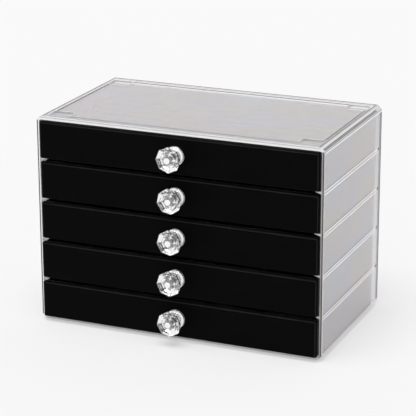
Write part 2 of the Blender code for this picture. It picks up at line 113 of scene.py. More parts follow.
def add_camera():
    corner = Vector((case_low.x, case_low.y, 0.0))
    turn = Matrix.Rotation(CAMERA_SWING, 4, "Z") @ Matrix.Rotation(math.pi / 2 - CAMERA_TILT, 4, "X")
    camera = linked("camera", bpy.data.cameras.new("camera"))
    place = Matrix.Translation(corner + CAMERA_PLACE)
    camera.matrix_world = place @ turn @ Matrix.Rotation(CAMERA_ROLL, 4, "Z")
    camera.data.lens = CAMERA_LENS
    camera.data.clip_start = 0.01
    bpy.context.scene.camera = camera


def seen_rays(tree):
    """Output that is 1 for what is seen straight, mirrored or through something clear."""
    path = tree.nodes.new("ShaderNodeLightPath").outputs
    seen = reckon(tree, "MAXIMUM", path["Is Camera Ray"], path["Is Glossy Ray"])
    return reckon(tree, "MAXIMUM", seen, path["Is Transmission Ray"])


def add_world():
    """White light from all round, and a white backdrop for what is seen."""
    world = bpy.data.worlds.new("white_room")
    bpy.context.scene.world = world
    world.use_nodes = True
    tree = world.node_tree
    tree.nodes.clear()
    light = add_node(tree, "ShaderNodeBackground", {"Color": ROOM_COLOUR, "Strength": ROOM_STRENGTH})
    backdrop = add_node(tree, "ShaderNodeBackground", {"Color": BACKDROP_COLOUR, "Strength": 1.0})
    ends = {0: seen_rays(tree), 1: light.outputs[0], 2: backdrop.outputs[0]}
    choice = add_node(tree, "ShaderNodeMixShader", ends)
    add_node(tree, "ShaderNodeOutputWorld", {"Surface": choice.outputs[0]})


def add_lamp():
    data = bpy.data.lights.new("soft_lamp", "SUN")
    data.angle = LAMP_SPREAD
    data.energy = LAMP_STRENGTH
    lamp = linked("soft_lamp", data)
    lamp.rotation_euler = LAMP_DIRECTION.to_track_quat("-Z", "Y").to_euler()


def add_table():
    """Matt pale table that glows as bright as the backdrop, in part, where it is seen."""
    data = bpy.data.meshes.new("table")
    sides = ((-1, -1), (1, -1), (1, 1), (-1, 1))
    corners = [(x * TABLE_REACH, y * TABLE_REACH, -TABLE_DROP) for x, y in sides]
    data.from_pydata(corners, [], [(0, 1, 2, 3)])
    table = linked("table", data)
    matt = {"Base Color": BACKDROP_COLOUR, "Roughness": 0.9, "Specular IOR Level": 0.0}
    material, tree = new_finish("pale_table", matt)
    surface = tree.nodes["Principled BSDF"].outputs[0]
    glow = add_node(tree, "ShaderNodeEmission", {"Color": TABLE_GLOW}).outputs[0]
    share = reckon(tree, "MULTIPLY", seen_rays(tree), TABLE_GLOW_SHARE)
    blend = add_node(tree, "ShaderNodeMixShader", {0: share, 1: surface, 2: glow})
    fill(tree, tree.nodes["Material Output"], {"Surface": blend.outputs[0]})
    data.materials.append(material)


bpy.context.scene.view_settings.view_transform = "Standard"
add_camera()
add_world()
add_lamp()
add_table()

# Clear sleeve
# One injection moulding in clear polystyrene: a tube with cut long edges, open at both ends, with a sunk
# panel and four stacking pockets in its top, feet below, and four rails inside each side wall that the
# drawers run on, flat above and thinning towards their tip below.
SIDE_WALL = 2.6 * MM
TOP_WALL = 3.2 * MM
FLOOR_WALL = 2.4 * MM
FOOT_HEIGHT = 0.9 * MM
LONG_EDGE_BEVEL = 3.3 * MM
INSIDE_BEVEL = 0.8 * MM
SLEEVE_EDGE_ROUND = 0.8 * MM
SLEEVE_LIP_ROUND = 0.5 * MM
RIM_WIDTH = 6.0 * MM
RIM_FLARE = 0.5 * MM
PANEL_SINK = 0.5 * MM
PANEL_CORNER = 3.0 * MM
POCKET_WIDTH = 17.0 * MM
POCKET_LENGTH = 13.0 * MM
POCKET_SINK = 1.1 * MM
SLOPE_DEPTH = 0.5 * MM
POCKET_MARGIN = 0.8 * MM
POCKET_CORNER = 3.5 * MM
FOOT_PLAY = 0.4 * MM
BAY_HEIGHT = 30.2 * MM
RAIL_WIDTH = 5.0 * MM
RAIL_ROOT = 2.2 * MM
RAIL_EDGE = 0.6 * MM
RAIL_SETBACK = 0.8 * MM
RAIL_ROUND = 0.25 * MM
RAIL_TIP_ROUND = 0.26 * MM
RAIL_END_GAP = 0.3 * MM
RAIL_LINE = 0.55 * MM
EDGE_STRIP = 0.8 * MM
REAR_STRIP = 1.4 * MM
REAR_WINDOW = 10.5 * MM
BEAD_WIDTH = 1.0 * MM
BEAD_HEIGHT = 0.25 * MM
BEAD_INSET = 2.0 * MM
BEAD_STEPS = 6
RECESS_FOOT = ((-0.7, 0.0), (-0.5, 0.06), (-0.15, 0.3))
RECESS_MOUTH = ((0.0, -0.08), (0.15, 0.02), (0.5, 0.12))
FOOT_ROUND = 0.3 * MM
CUT_OVERRUN = 2.0 * MM
ARC_STEPS = 4
HAIR = 0.02 * MM
SLACK = 0.1 * MM
FLAT = 0.995
BEVEL_AREA = 20 * MM * MM
STRAIN_TURN = (0.0, math.radians(-25), math.radians(34))
STRAIN_STRETCH = (0.15, 0.026, 0.026)
STRAIN_FILM = (265.0, 425.0)
NO_FILM = (0.0, 0.0)
CLEAR = (0.97, 0.97, 0.975)
WHITE = (1.0, 1.0, 1.0)
SHADE = (0.16, 0.15, 0.15)

case_width = case_high.x - case_low.x
half_width = case_width / 2
case_middle = (case_low.y + case_high.y) / 2
case_top = case_high.z
inner_width = case_width - 2 * SIDE_WALL
inner_bottom = FOOT_HEIGHT + FLOOR_WALL
inner_height = case_top - TOP_WALL - inner_bottom


def rounded(corners, radius, steps, strip=0.0):
    """Outline of a convex shape, given anticlockwise, with an arc and narrow strips at each corner."""
    points = []
    count = len(corners)
    for n in range(count):
        corner = Vector(corners[n])
        come = (corner - Vector(corners[n - 1])).normalized()
        leave = (Vector(corners[(n + 1) % count]) - corner).normalized()
        turn = come.angle(leave)
        middle = corner + (leave - come).normalized() * radius / math.cos(turn / 2)
        if strip:
            points.append(middle + Vector((come.y, -come.x)) * radius - come * strip)
        for step in range(steps + 1):
            spoke = Matrix.Rotation(turn * step / steps, 2) @ Vector((come.y, -come.x))
            points.append(middle + spoke * radius)
        if strip:
            points.append(points[-1] + leave * strip)
    return points


def eight_sided(width, height, bevel, grow, radius, strip=0.0):
    """Rectangle with cut corners, offset outward by grow, its eight edges rounded."""
    x, z = width / 2 + grow, height / 2 + grow
    cut = bevel + grow * (2 - math.sqrt(2))
    corners = [(x, cut - z), (x, z - cut), (x - cut, z), (cut - x, z)]
    corners += [(-x, z - cut), (-x, cut - z), (cut - x, -z), (x - cut, -z)]
    return rounded(corners, radius + grow, ARC_STEPS, strip)


def four_sided(width, length, radius, grow=0.0):
    """Rectangle with round corners, offset outward by grow."""
    x, y = width / 2 + grow, length / 2 + grow
    corners = [(x, -y), (x, y), (-x, y), (-x, -y)]
    return rounded(corners, max(radius + grow, 0.01 * MM), 2 * ARC_STEPS)


def upright(points, y, z=0.0):
    return [(u, y, z + v) for u, v in points]


def level(points, z, x=0.0, y=0.0):
    return [(x + u, y + v, z) for u, v in points]


def quarter(radius, steps=ARC_STEPS):
    """Pairs of offset and depth that round an edge, from its face to its side."""
    angles = [step / steps * math.pi / 2 for step in range(steps + 1)]
    return [(radius * (math.sin(a) - 1), radius * (1 - math.cos(a))) for a in angles]


def skin(work, rings, in_a_loop=False):
    """Adds a skin over rings of equal length, closed at both ends or run round in a loop."""
    rows = [[work.verts.new(point) for point in ring] for ring in rings]
    pairs = list(zip(rows, rows[1:]))
    if in_a_loop:
        pairs.append((rows[-1], rows[0]))
    else:
        work.faces.new(rows[0])
        work.faces.new(rows[-1])
    count = len(rows[0])
    for near, far in pairs:
        for n in range(count):
            m = (n + 1) % count
            work.faces.new((near[n], near[m], far[m], far[n]))


def mesh_from(work, name):
    bmesh.ops.recalc_face_normals(work, faces=work.faces)
    data = bpy.data.meshes.new(name)
    work.to_mesh(data)
    work.free()
    return data


def mesh_of(name, *lofts, in_a_loop=False):
    work = bmesh.new()
    for rings in lofts:
        skin(work, rings, in_a_loop)
    return mesh_from(work, name)


def box_rings(low, high):
    (x0, y0, z0), (x1, y1, z1) = low, high
    return [[(x0, y0, z), (x1, y0, z), (x1, y1, z), (x0, y1, z)] for z in (z0, z1)]


def dressed(data, *finishes):
    """Mesh with its finishes, the first of which is number 0."""
    for finish in finishes:
        data.materials.append(finish)
    return data


def put(name, data, body, stands_for=(), at=(0.0, 0.0, 0.0), turn=0.0):
    """Places a piece, lets it ride on its body and hides the solids it stands for."""
    piece = linked(name, data)
    piece.location = at
    piece.rotation_euler.y = turn
    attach(piece, body)
    if stands_for:
        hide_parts(*stands_for)
    return piece


def carved(data, *steps):
    """Mesh that is left once each (tool mesh, operation) has been worked on it in turn."""
    blank = linked(data.name, data)
    tools = []
    for mesh, operation in steps:
        tool = linked(mesh.name, mesh)
        cut = blank.modifiers.new(mesh.name, "BOOLEAN")
        cut.operation = operation
        cut.object = tool
        tools.append(tool)
    seen = blank.evaluated_get(bpy.context.evaluated_depsgraph_get())
    result = bpy.data.meshes.new_from_object(seen)
    result.name = data.name
    for spent in (blank, *tools):
        bpy.data.objects.remove(spent, do_unlink=True)
    return result


def softened(data, angle):
    """Shades a mesh smooth but for the edges that turn by more than an angle in degrees."""
    data.shade_smooth()
    data.set_sharp_from_angle(angle=math.radians(angle))
    return data


def keep_flats_flat(piece):
    """Lets the large faces set the shading of the edges round them."""
    weigh = piece.modifiers.new("flats", "WEIGHTED_NORMAL")
    weigh.keep_sharp = True
    weigh.weight = 80
    return piece


def corner_places():
    inset = RIM_WIDTH + POCKET_MARGIN
    x = half_width - inset - POCKET_WIDTH / 2
    y = (case_high.y - case_low.y) / 2 - inset - POCKET_LENGTH / 2
    return [(side * x, case_middle + end * y) for side in (-1, 1) for end in (-1, 1)]


def dished(width, length, corner, floor, surface, x, y):
    """Tool for a shallow recess: soft foot, sloping side and flared mouth."""
    steps = [(out * MM, floor + up * MM) for out, up in RECESS_FOOT]
    steps += [(out * MM, surface + up * MM) for out, up in RECESS_MOUTH]
    steps.append((steps[-1][0], surface + CUT_OVERRUN))
    return [level(four_sided(width, length, corner, out), z, x, y) for out, z in steps]


def sleeve_mesh():
    outside = (case_width, case_top - FOOT_HEIGHT, LONG_EDGE_BEVEL)
    inside = (inner_width, inner_height, INSIDE_BEVEL)
    outer_z = (case_top + FOOT_HEIGHT) / 2
    inner_z = inner_bottom + inner_height / 2
    lip = quarter(SLEEVE_LIP_ROUND)
    outer = [(-SLEEVE_LIP_ROUND - EDGE_STRIP, 0.0), *lip, (0.0, SLEEVE_LIP_ROUND + EDGE_STRIP)]
    outer = [(offset, case_low.y + depth) for offset, depth in outer]
    outer += [(0.0, case_high.y - REAR_WINDOW), (0.0, case_high.y - SLEEVE_LIP_ROUND - REAR_STRIP)]
    outer += [(offset, case_high.y - depth) for offset, depth in lip[::-1]]
    inner = [(-offset, case_high.y - depth) for offset, depth in lip]
    inner += [(-offset, case_low.y + depth) for offset, depth in lip[::-1]]
    edge = SLEEVE_EDGE_ROUND
    rings = []
    for offset, y in outer:
        outline = eight_sided(*outside, offset, edge + SLEEVE_LIP_ROUND + EDGE_STRIP, EDGE_STRIP)
        rings.append(upright(outline, y, outer_z))
    for offset, y in inner:
        rings.append(upright(eight_sided(*inside, offset, edge, SLACK), y, inner_z))
    return mesh_of("sleeve", rings, in_a_loop=True)


def drawn_in(corners, inset):
    """Convex outline, given anticlockwise, with every side moved in by the same amount."""
    moved = []
    for n, corner in enumerate(corners):
        corner = Vector(corner)
        come = (corner - Vector(corners[n - 1])).normalized()
        leave = (Vector(corners[(n + 1) % len(corners)]) - corner).normalized()
        moved.append(corner + (leave - come).normalized() * inset / math.cos(come.angle(leave) / 2))
    return moved


def rail_tool():
    """Rails of both sides, their roots run into the wall and their front ends eased."""
    start = case_low.y + RAIL_SETBACK
    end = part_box("back_panel")[0].y - RAIL_END_GAP
    wall = inner_width / 2
    root = wall + SIDE_WALL / 2
    ease = quarter(RAIL_ROUND, 3)
    rails = []
    for number in range(1, 5):
        top = inner_bottom + number * (BAY_HEIGHT + RAIL_ROOT)
        right = [(root, top - RAIL_ROOT), (root, top), (wall - RAIL_WIDTH, top),
                 (wall - RAIL_WIDTH, top - RAIL_EDGE), (wall, top - RAIL_ROOT)]
        left = [(-x, z) for x, z in right[::-1]]
        for corners in (right, left):
            places = [(offset, start + depth) for offset, depth in ease]
            places += [(offset, end - depth) for offset, depth in ease[::-1]]
            rails.append([upright(rounded(drawn_in(corners, -offset), RAIL_TIP_ROUND + offset, 3), y)
                          for offset, y in places])
    return mesh_of("rails", *rails)


def foot_tool():
    size = (POCKET_WIDTH - 2 * FOOT_PLAY, POCKET_LENGTH - 2 * FOOT_PLAY, POCKET_CORNER - FOOT_PLAY)
    feet = []
    for x, y in corner_places():
        rings = []
        for offset, depth in quarter(FOOT_ROUND):
            rings.append(level(four_sided(*size, offset), depth, x, y))
        rings.append(level(four_sided(*size), FOOT_HEIGHT + FLOOR_WALL / 2, x, y))
        feet.append(rings)
    return mesh_of("feet", *feet)


def place_on(tree):
    """Output with the place of a point on its own piece."""
    return tree.nodes.new("ShaderNodeTexCoord").outputs["Object"]


def mottle(tree, scale, detail, distortion=0.0, vector=None):
    """Output of a soft uneven pattern that is fixed to the piece."""
    if vector is None:
        vector = place_on(tree)
    sockets = {"Vector": vector, "Scale": scale, "Detail": detail, "Distortion": distortion}
    return add_node(tree, "ShaderNodeTexNoise", sockets).outputs["Fac"]


def graded(tree, value, low, high, start=0.0, end=1.0):
    """Output that runs from low to high while a value runs from start to end."""
    sockets = {"Value": value, "From Min": start, "From Max": end, "To Min": low, "To Max": high}
    return add_node(tree, "ShaderNodeMapRange", sockets).outputs["Result"]


def tinted(tree, value, *stops):
    """Colour that follows a value through stops, each a position and a colour."""
    ramp = add_node(tree, "ShaderNodeValToRGB", {"Fac": value})
    for element, (position, colour) in zip(ramp.color_ramp.elements, stops):
        element.position = position
        element.color = (*colour, 1.0)
    return ramp.outputs["Color"]


def bumped(tree, height, strength, distance):
    """Normal that follows the height of a pattern."""
    sockets = {"Height": height, "Strength": strength, "Distance": distance}
    return add_node(tree, "ShaderNodeBump", sockets).outputs["Normal"]


def clear_styrene(name, through, coat, colour, haze, film=NO_FILM):
    """Clear polystyrene with pastel strain colours in its sheen, faint flow marks and handling haze."""
    material, tree = new_finish(name, {
        "Transmission Weight": through,
        "IOR": 1.59,
        "Coat Weight": coat,
        "Coat IOR": 1.9,
        "Coat Roughness": 0.02,
        "Base Color": (*colour, 1.0),
        "Thin Film IOR": 1.46,
    })
    stretch = tree.nodes.new("ShaderNodeMapping")
    stretch.vector_type = "TEXTURE"
    fill(tree, stretch, {"Vector": place_on(tree), "Rotation": STRAIN_TURN, "Scale": STRAIN_STRETCH})
    strain = mottle(tree, 1.0, 2.0, 0.5, stretch.outputs["Vector"])
    flow = mottle(tree, 22.0, 1.0)
    rub = mottle(tree, 60.0, 6.0)
    tune(tree, {
        "Thin Film Thickness": graded(tree, strain, *film, 0.3, 0.7),
        "Coat Weight": graded(tree, strain, coat * 0.9, coat, 0.35, 0.65),
        "Normal": bumped(tree, flow, 0.05, 0.0005),
        "Roughness": graded(tree, rub, haze, haze + 0.03, 0.4, 0.75),
    })
    depth = add_node(tree, "ShaderNodeVolumeAbsorption", {"Color": (0.52, 0.55, 0.57, 1.0), "Density": 1.5})
    fill(tree, tree.nodes["Material Output"], {"Volume": depth.outputs["Volume"]})
    return material


def bead_rings(width, length, corner, foot, x, y):
    """Low round bead that runs round a recess."""
    steps = []
    for step in range(BEAD_STEPS + 1):
        angle = math.pi * step / BEAD_STEPS
        steps.append((BEAD_WIDTH / 2 * (1 - math.cos(angle)), foot + BEAD_HEIGHT * math.sin(angle)))
    steps += [(BEAD_WIDTH, foot - BEAD_HEIGHT), (0.0, foot - BEAD_HEIGHT)]
    return [level(four_sided(width, length, corner, offset), z, x, y) for offset, z in steps]


def on_a_rail(middle):
    side, height = abs(middle.x), middle.z - inner_bottom
    inside = inner_width / 2 - RAIL_WIDTH - SLACK < side < inner_width / 2 - SLACK / 2
    within = BAY_HEIGHT - SLACK < height < inner_height - BAY_HEIGHT + SLACK
    return inside and within and middle.y > case_low.y + SLEEVE_LIP_ROUND


def beside_a_bevel(middle):
    """Whether a place on the sides is within the narrow strips next to the cut long edges."""
    reach = LONG_EDGE_BEVEL + SLEEVE_EDGE_ROUND + EDGE_STRIP
    outside = abs(middle.x) > half_width - SLEEVE_EDGE_ROUND
    return outside and (middle.z > case_top - reach or middle.z < FOOT_HEIGHT + reach)


def in_shade(middle, normal):
    """Whether a face lies in one of the strips along the edges that light passes by, which are painted dark
    as painted shade.
    """
    side = abs(middle.x)
    if normal.z > FLAT and middle.z > case_top - HAIR:
        beside = side > half_width - LONG_EDGE_BEVEL - SLEEVE_EDGE_ROUND - EDGE_STRIP
        return beside or middle.y > case_high.y - REAR_STRIP
    if abs(normal.x) > FLAT and side > half_width - HAIR:
        return middle.y > case_high.y - REAR_STRIP
    if normal.y < -FLAT and middle.y < case_low.y + HAIR:
        return side > half_width - SLEEVE_LIP_ROUND - EDGE_STRIP
    return middle.y > case_high.y - SLEEVE_LIP_ROUND and normal.y < 0.98 and side > inner_width / 2


def top_finish(middle, normal):
    """Finish in the sunk panel: clear inside its border, a thin bead painted dark as painted shade, and
    painted white outside it as a painted highlight. The pockets have a white outline painted as a highlight
    and a slope painted grey as painted shade."""
    inset = min(panel[0] / 2 - abs(middle.x), panel[1] / 2 - abs(middle.y - case_middle))
    near = min(max(abs(x - middle.x) - POCKET_WIDTH / 2, abs(y - middle.y) - POCKET_LENGTH / 2)
               for x, y in corner_places())
    if normal.z > FLAT:
        return 3 if inset < BEAD_INSET - BEAD_WIDTH and near > BEAD_WIDTH else 0
    if near < BEAD_WIDTH:
        slope = near < 0.0 and 0.2 < normal.z < 0.9 and middle.z > panel_floor - SLOPE_DEPTH
        return 8 if slope else 3
    return 4 if BEAD_INSET - 1.1 * BEAD_WIDTH < inset < 1.1 * BEAD_INSET else 3


def name_edges(data):
    """Finishes: 0 clear, 1 cut bevels, 2 edges with painted light and shade, 3 white outlines, rim and rail
    ends as painted highlight, 4 strips of painted shade, 5 sides with painted mirror lines, 6 bright ends and
    strips as painted highlight, 7 rear windows, 8 grey end and slopes of painted shade."""
    half_rim = half_width - RIM_WIDTH + RIM_FLARE
    deep_rim = (case_high.y - case_low.y) / 2 - RIM_WIDTH + RIM_FLARE
    for face in data.polygons:
        middle, normal = face.center, face.normal
        x, y, z = (abs(v) for v in normal)
        side = abs(middle.x)
        flat = max(x, y, z) > FLAT
        front = y > FLAT and middle.y < case_middle
        upper = middle.z > case_top / 2
        inside_rim = side < half_rim and abs(middle.y - case_middle) < deep_rim
        if middle.z > case_top - 2 * POCKET_SINK and inside_rim:
            finish = top_finish(middle, normal)
        # Front ends of the rails are painted white, a painted highlight for the light they carry.
        elif on_a_rail(middle):
            finish = 3 if normal.y < -0.3 else 0
        # Strips beside the cut long edges: flat ones painted bright as a painted highlight, curved ones
        # painted dark as painted shade.
        elif x > (0.9 if upper else 0.75) and beside_a_bevel(middle):
            finish = 6 if flat else 4
        elif x > FLAT and side > half_width - HAIR and middle.y < case_high.y - REAR_STRIP:
            finish = 5 if middle.y < case_middle + RIM_WIDTH else 7
        # Strips along the edges are painted dark as painted shade.
        elif in_shade(middle, normal):
            finish = 4
        # Cut bevels; the inner half of the upper ones is painted white as a painted highlight.
        elif abs(x - z) < 0.08 and y < 0.05 and face.area > BEVEL_AREA:
            outward = side - half_width + LONG_EDGE_BEVEL / 2
            finish = 1 if outward > -0.3 * EDGE_STRIP or not upper else 3
        # The front end of the top wall: its lower part painted bright as a painted highlight, its upper edge
        # with the painted edge finish.
        elif front and middle.z > case_top - TOP_WALL:
            finish = 6 if middle.z < case_top - SLEEVE_LIP_ROUND - EDGE_STRIP else 2
        # Front ends of the side walls: the left painted bright as a painted highlight, the right painted grey
        # as painted shade.
        elif front and side > inner_width / 2:
            finish = 6 if middle.x < 0.0 else 8
        # The flat top rim is painted white as a painted highlight.
        elif z > FLAT and middle.z > case_top - HAIR:
            finish = 3
        elif middle.z > inner_bottom - FLOOR_WALL and (not flat or y > FLAT):
            finish = 2
        else:
            finish = 0
        face.material_index = finish


def painted_edge_styrene():
    """The sleeve's edges and ends, painted pale where they face the camera and painted dark where they curve
    out of sight: painted light and shade for what real clear edges bend and mirror.
    """
    material = clear_styrene("painted_edge_styrene", 1.0, 0.2, (0.9, 0.9, 0.9), 0.08)
    tree = material.node_tree
    turned_away = add_node(tree, "ShaderNodeLayerWeight", {"Blend": 0.5}).outputs["Facing"]
    rim = tinted(tree, turned_away, (0.55, (1.0, 1.0, 1.0)), (0.85, SHADE))
    # Their inner sides are painted dark as painted shade, and pass light like clear plastic.
    inside = tree.nodes.new("ShaderNodeNewGeometry").outputs["Backfacing"]
    painted_edge_light = tree.nodes.new("ShaderNodeMix")
    painted_edge_light.data_type = "RGBA"
    fill(tree, painted_edge_light, {"Factor": inside, "A": rim, "B": (0.22, 0.21, 0.21, 1.0)})
    tune(tree, {
        "Base Color": painted_edge_light.outputs["Result"],
        "Transmission Weight": graded(tree, inside, 0.25, 1.0),
    })
    return material


def side_styrene():
    """The sleeve's sides, with two painted mirror lines at the root of each rail, where its corners mirror
    the light, and a mirror coat painted weaker towards the bottom as painted shade from the shaded floor it
    mirrors.
    """
    material = clear_styrene("side_styrene", 0.975, 1.0, CLEAR, 0.01, STRAIN_FILM)
    tree = material.node_tree
    shader = tree.nodes["Principled BSDF"]
    height = add_node(tree, "ShaderNodeSeparateXYZ", {"Vector": place_on(tree)}).outputs["Z"]
    pitch = BAY_HEIGHT + RAIL_ROOT
    first_root = inner_bottom + BAY_HEIGHT + RAIL_ROOT / 2
    off_root = reckon(tree, "PINGPONG", reckon(tree, "SUBTRACT", height, first_root - pitch), pitch / 2)
    off_corner = reckon(tree, "ABSOLUTE", reckon(tree, "SUBTRACT", off_root, RAIL_ROOT / 2))
    # Metal painted in two thin bands at each rail root: a painted reflection.
    line = tree.nodes.new("ShaderNodeMapRange")
    line.interpolation_type = "SMOOTHSTEP"
    fill(tree, line, {"Value": off_corner, "From Min": RAIL_LINE, "From Max": 0.65 * RAIL_LINE})
    mirror = shader.inputs["Coat Weight"].links[0].from_socket
    # The coat weakens towards the bottom: painted shade.
    painted_low_shade = reckon(tree, "MULTIPLY", mirror, graded(tree, height, 0.65, 1.0, 0.0, case_top))
    fill(tree, shader, {"Metallic": line.outputs["Result"], "Coat Weight": painted_low_shade})
    return material


panel = (case_width - 2 * RIM_WIDTH, case_high.y - case_low.y - 2 * RIM_WIDTH, PANEL_CORNER)
panel_floor = case_top - PANEL_SINK
pocket = (POCKET_WIDTH, POCKET_LENGTH, POCKET_CORNER)
pockets = [dished(*pocket, case_top - POCKET_SINK, panel_floor, x, y) for x, y in corner_places()]
beads = [bead_rings(*pocket, panel_floor, x, y) for x, y in corner_places()]
inner_panel = [size - 2 * BEAD_INSET for size in panel[:2]]
border = bead_rings(*inner_panel, PANEL_CORNER, panel_floor, 0.0, case_middle)
sleeve = carved(
    sleeve_mesh(),
    (mesh_of("sunk_panel", dished(*panel, panel_floor, case_top, 0.0, case_middle)), "DIFFERENCE"),
    (mesh_of("border", border, in_a_loop=True), "UNION"),
    (mesh_of("pockets", *pockets), "DIFFERENCE"),
    (mesh_of("beads", *beads, in_a_loop=True), "UNION"),
    (rail_tool(), "UNION"),
    (foot_tool(), "UNION"),
)
# Besides clear plastic, the finishes below paint light and shade onto the sleeve: white outlines and bright
# strips as painted highlight, dark strips and grey flanks as painted shade.
styrene = clear_styrene("clear_styrene", 0.955, 1.0, CLEAR, 0.01, STRAIN_FILM)
bevel_styrene = clear_styrene("bevel_styrene", 0.9, 0.0, (0.90, 0.90, 0.91), 0.01)
painted_outline_styrene = clear_styrene("painted_outline_styrene", 0.2, 0.5, WHITE, 0.20)
painted_shade_styrene = clear_styrene("painted_shade_styrene", 0.35, 0.0, SHADE, 0.05)
painted_bright_styrene = clear_styrene("painted_bright_styrene", 0.2, 0.5, WHITE, 0.10)
window_styrene = clear_styrene("window_styrene", 1.0, 0.0, WHITE, 0.0)
painted_grey_styrene = clear_styrene("painted_grey_styrene", 0.35, 0.0, (0.55, 0.52, 0.51), 0.05)
for finish, socket, value in (
    (painted_shade_styrene, "IOR", 1.15), (painted_grey_styrene, "IOR", 1.15), (painted_bright_styrene, "Metallic", 0.7),
):
    tune(finish.node_tree, {socket: value})
dressed(sleeve, styrene, bevel_styrene, painted_edge_styrene(), painted_outline_styrene, painted_shade_styrene, side_styrene(),
        painted_bright_styrene, window_styrene, painted_grey_styrene)
name_edges(sleeve)
keep_flats_flat(put("sleeve", softened(sleeve, 30), "case", ["case_shell"]))

# Back plate
# A clear polystyrene plate with eased edges, let into the rear end of the sleeve and glued there.
PLATE_EASE = 0.45 * MM

low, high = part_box("back_panel")
plate_size = (high.x - low.x, high.z - low.z, INSIDE_BEVEL)
ease = quarter(PLATE_EASE)
plate_steps = [(offset, low.y + depth) for offset, depth in ease]
plate_steps += [(offset, high.y - depth) for offset, depth in ease[::-1]]
plate_rings = []
for offset, y in plate_steps:
    outline = eight_sided(*plate_size, offset, SLEEVE_EDGE_ROUND + PLATE_EASE)
    plate_rings.append(upright(outline, y, (low.z + high.z) / 2))
plate = dressed(softened(mesh_of("back_plate", plate_rings), 30), window_styrene, painted_outline_styrene)
# The plate's edges are painted white as a painted highlight; its faces stay clear.
for face in plate.polygons:
    face.material_index = int(abs(face.normal.y) < 0.5)
keep_flats_flat(put("back_plate", plate, "case", ["back_panel"]))

# Drawer fronts
# A board wrapped in black velvet, drawn tight over its edges and glued behind, with a hole in its middle
# for the knob's screw.
FRONT_CORNER = 1.6 * MM
FRONT_FACE_ROUND = 1.5 * MM
FRONT_REAR_ROUND = 0.6 * MM
SCREW_HOLE = 2.0 * MM


def velvet(name, colour, lift, pile):
    """Short black pile: it soaks up light, catches a little at grazing angles and shows faint brush marks."""
    material, tree = new_finish(name, {
        "Roughness": 0.5,
        "Specular IOR Level": 0.03,
        "Sheen Weight": lift,
        "Sheen Roughness": 0.25,
        "Sheen Tint": (0.95, 0.90, 0.86, 1.0),
    })
    tufts = mottle(tree, pile, 3.0)
    brushed = mottle(tree, 38.0, 4.0, 1.2)
    both = tree.nodes.new("ShaderNodeMix")
    both.data_type = "FLOAT"
    fill(tree, both, {"Factor": 0.45, "A": tufts, "B": brushed})
    deep = [c * 0.45 for c in colour]
    lit = [c * 1.7 for c in colour]
    tune(tree, {
        "Base Color": tinted(tree, both.outputs["Result"], (0.3, deep), (0.7, lit)),
        "Normal": bumped(tree, tufts, 0.35, 0.0002),
    })
    return material


def round_outline(radius, sides=24):
    step = 2 * math.pi / sides
    return [(radius * math.cos(n * step), radius * math.sin(n * step)) for n in range(sides)]


def front_mesh(size):
    face = quarter(FRONT_FACE_ROUND, 6)
    rear = [(offset, size.y - depth) for offset, depth in quarter(FRONT_REAR_ROUND, 3)]
    rings = [upright(four_sided(size.x, size.z, FRONT_CORNER, offset), y) for offset, y in face + rear[::-1]]
    circle = round_outline(SCREW_HOLE)
    hole = mesh_of("screw_hole", [upright(circle, -CUT_OVERRUN), upright(circle, size.y + CUT_OVERRUN)])
    return softened(carved(mesh_of("velvet_front", rings), (hole, "DIFFERENCE")), 40)


def front_place(number):
    """Middle of a front's face, where its knob and its screw sit too."""
    low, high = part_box(f"front_{number}")
    return Vector((0.0, low.y, (low.z + high.z) / 2))


front_velvet = velvet("front_velvet", (0.0018, 0.0017, 0.0017), 0.20, 2400.0)
# A lighter copy of the velvet for the rounded edges of each face: a painted highlight where the light from
# above catches the pile.
painted_highlight_velvet = velvet("painted_highlight_velvet", (0.017, 0.0164, 0.0160), 0.30, 2400.0)
low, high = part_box("front_1")
front = dressed(front_mesh(high - low), front_velvet, painted_highlight_velvet)
# All rounded face edges but the lower one take the lighter velvet, a painted highlight.
for face in front.polygons:
    face.material_index = int(-FLAT < face.normal.y < -0.85 and face.normal.z > -0.1)
for number in range(1, 6):
    piece = put(f"velvet_front_{number}", front, f"drawer_{number}",
                [f"front_{number}"], front_place(number))
    keep_flats_flat(piece)

# Drawer trays
# An open box moulded in black polystyrene, satin outside, with a round rim and a small radius round its
# floor. Black flock is blown onto its inside. The knob's screw clamps its front wall to the velvet board.
TRAY_WALL = 2.2 * MM
TRAY_FLOOR = 2.0 * MM
TRAY_CORNER = 4.0 * MM
TRAY_EDGE = 0.6 * MM
TRAY_COVE = 1.0 * MM


def painted_skin(work, rings, inner_from):
    """Skin closed at both ends, whose bands and end from one ring on take the second material."""
    before = len(work.faces)
    skin(work, rings)
    work.faces.ensure_lookup_table()
    count = len(rings[0])
    for number, face in enumerate(work.faces[before + 1:]):
        if number == 0 or (number - 1) // count >= inner_from:
            face.material_index = 1


def tray_mesh(size, hole_height):
    rim = TRAY_WALL / 2
    steps = quarter(TRAY_EDGE)
    for step in range(9):
        angle = math.pi * step / 8
        steps.append((rim * (math.cos(angle) - 1), size.z - rim + rim * math.sin(angle)))
    for step in range(5):
        angle = math.pi / 2 * step / 4
        inset, rise = TRAY_COVE * (1 - math.cos(angle)), TRAY_COVE * (1 - math.sin(angle))
        steps.append((-TRAY_WALL - inset, TRAY_FLOOR + rise))
    middle = size.y / 2
    rings = [level(four_sided(size.x, size.y, TRAY_CORNER, offset), z, 0.0, middle) for offset, z in steps]
    work = bmesh.new()
    painted_skin(work, rings, len(rings) - 9)
    data = dressed(mesh_from(work, "tray"), satin_styrene(), flock)
    circle = [(u, v + hole_height) for u, v in round_outline(SCREW_HOLE)]
    hole = [upright(circle, -CUT_OVERRUN), upright(circle, TRAY_WALL + CUT_OVERRUN)]
    return softened(carved(data, (mesh_of("tray_hole", hole), "DIFFERENCE")), 40)


